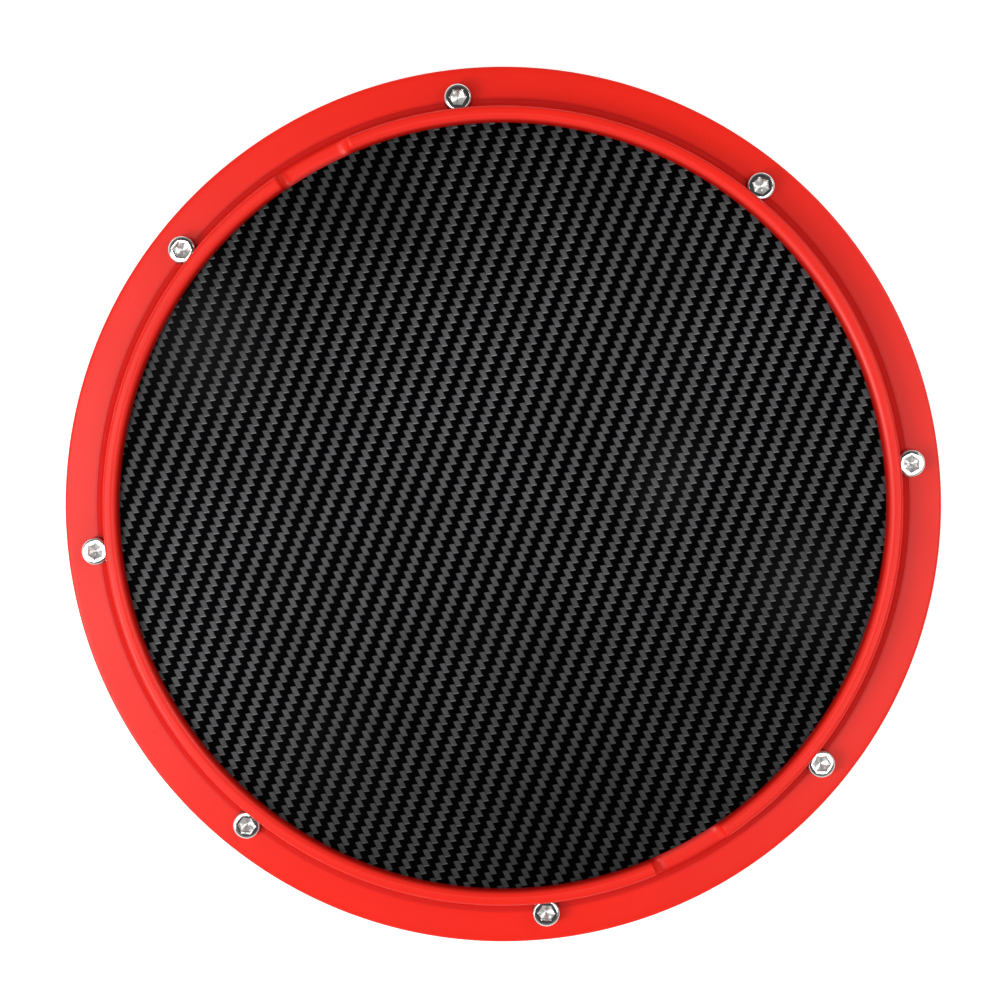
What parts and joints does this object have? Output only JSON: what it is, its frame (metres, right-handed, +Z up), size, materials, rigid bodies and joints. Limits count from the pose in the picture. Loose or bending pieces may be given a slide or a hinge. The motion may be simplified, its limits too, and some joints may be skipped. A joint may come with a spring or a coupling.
{
  "type": "practice pad",
  "caption": "Round practice pad: a flat woven-laminate playing surface inside a raised moulded hoop with lowered gates, screwed to a layered board with a non-slip underside.",
  "frame": {"origin": "centre of the underside of the base mat, on the surface the pad rests on", "axes": "+Z up, out of the playing surface; the two gates in the lip lie on +Y and -Y; screw_1 is the first screw anticlockwise from +X"},
  "size_m": [0.325, 0.325, 0.0361],
  "materials": {
    "red_moulding": "satin moulded red, fine surface texture",
    "woven_laminate": "two-by-two twill of grey and black tows under clear gloss resin",
    "gum_rubber": "matt dark brown",
    "eva_foam": "matt black closed-cell foam",
    "birch_plywood": "clear satin lacquer, plies showing at the edge",
    "mat_rubber": "matt black, finely ribbed underside",
    "polished_steel": "polished stainless steel",
    "zinc_plate": "zinc plated steel"
  },
  "bodies": {
    "pad": {"hoop": "red_moulding", "playing_skin": "woven_laminate", "rubber_layer": "gum_rubber", "foam_layer": "eva_foam", "core_board": "birch_plywood", "base_mat": "mat_rubber", "insert_1": "zinc_plate", "insert_2": "zinc_plate", "insert_3": "zinc_plate", "insert_4": "zinc_plate", "insert_5": "zinc_plate", "insert_6": "zinc_plate", "insert_7": "zinc_plate", "insert_8": "zinc_plate"},
    "screw_1": {"screw_1": "polished_steel"},
    "screw_2": {"screw_2": "polished_steel"},
    "screw_3": {"screw_3": "polished_steel"},
    "screw_4": {"screw_4": "polished_steel"},
    "screw_5": {"screw_5": "polished_steel"},
    "screw_6": {"screw_6": "polished_steel"},
    "screw_7": {"screw_7": "polished_steel"},
    "screw_8": {"screw_8": "polished_steel"}
  },
  "joints": [
    {"name": "screw_1_turn", "type": "hinge", "parent": "pad", "child": "screw_1", "pos_m": [0.13987, 0.05794, 0.0261], "axis": [0, 0, 1], "continuous": true},
    {"name": "screw_2_turn", "type": "hinge", "parent": "pad", "child": "screw_2", "pos_m": [0.05794, 0.13987, 0.0261], "axis": [0, 0, 1], "continuous": true},
    {"name": "screw_3_turn", "type": "hinge", "parent": "pad", "child": "screw_3", "pos_m": [-0.05794, 0.13987, 0.0261], "axis": [0, 0, 1], "continuous": true},
    {"name": "screw_4_turn", "type": "hinge", "parent": "pad", "child": "screw_4", "pos_m": [-0.13987, 0.05794, 0.0261], "axis": [0, 0, 1], "continuous": true},
    {"name": "screw_5_turn", "type": "hinge", "parent": "pad", "child": "screw_5", "pos_m": [-0.13987, -0.05794, 0.0261], "axis": [0, 0, 1], "continuous": true},
    {"name": "screw_6_turn", "type": "hinge", "parent": "pad", "child": "screw_6", "pos_m": [-0.05794, -0.13987, 0.0261], "axis": [0, 0, 1], "continuous": true},
    {"name": "screw_7_turn", "type": "hinge", "parent": "pad", "child": "screw_7", "pos_m": [0.05794, -0.13987, 0.0261], "axis": [0, 0, 1], "continuous": true},
    {"name": "screw_8_turn", "type": "hinge", "parent": "pad", "child": "screw_8", "pos_m": [0.13987, -0.05794, 0.0261], "axis": [0, 0, 1], "continuous": true}
  ]
}
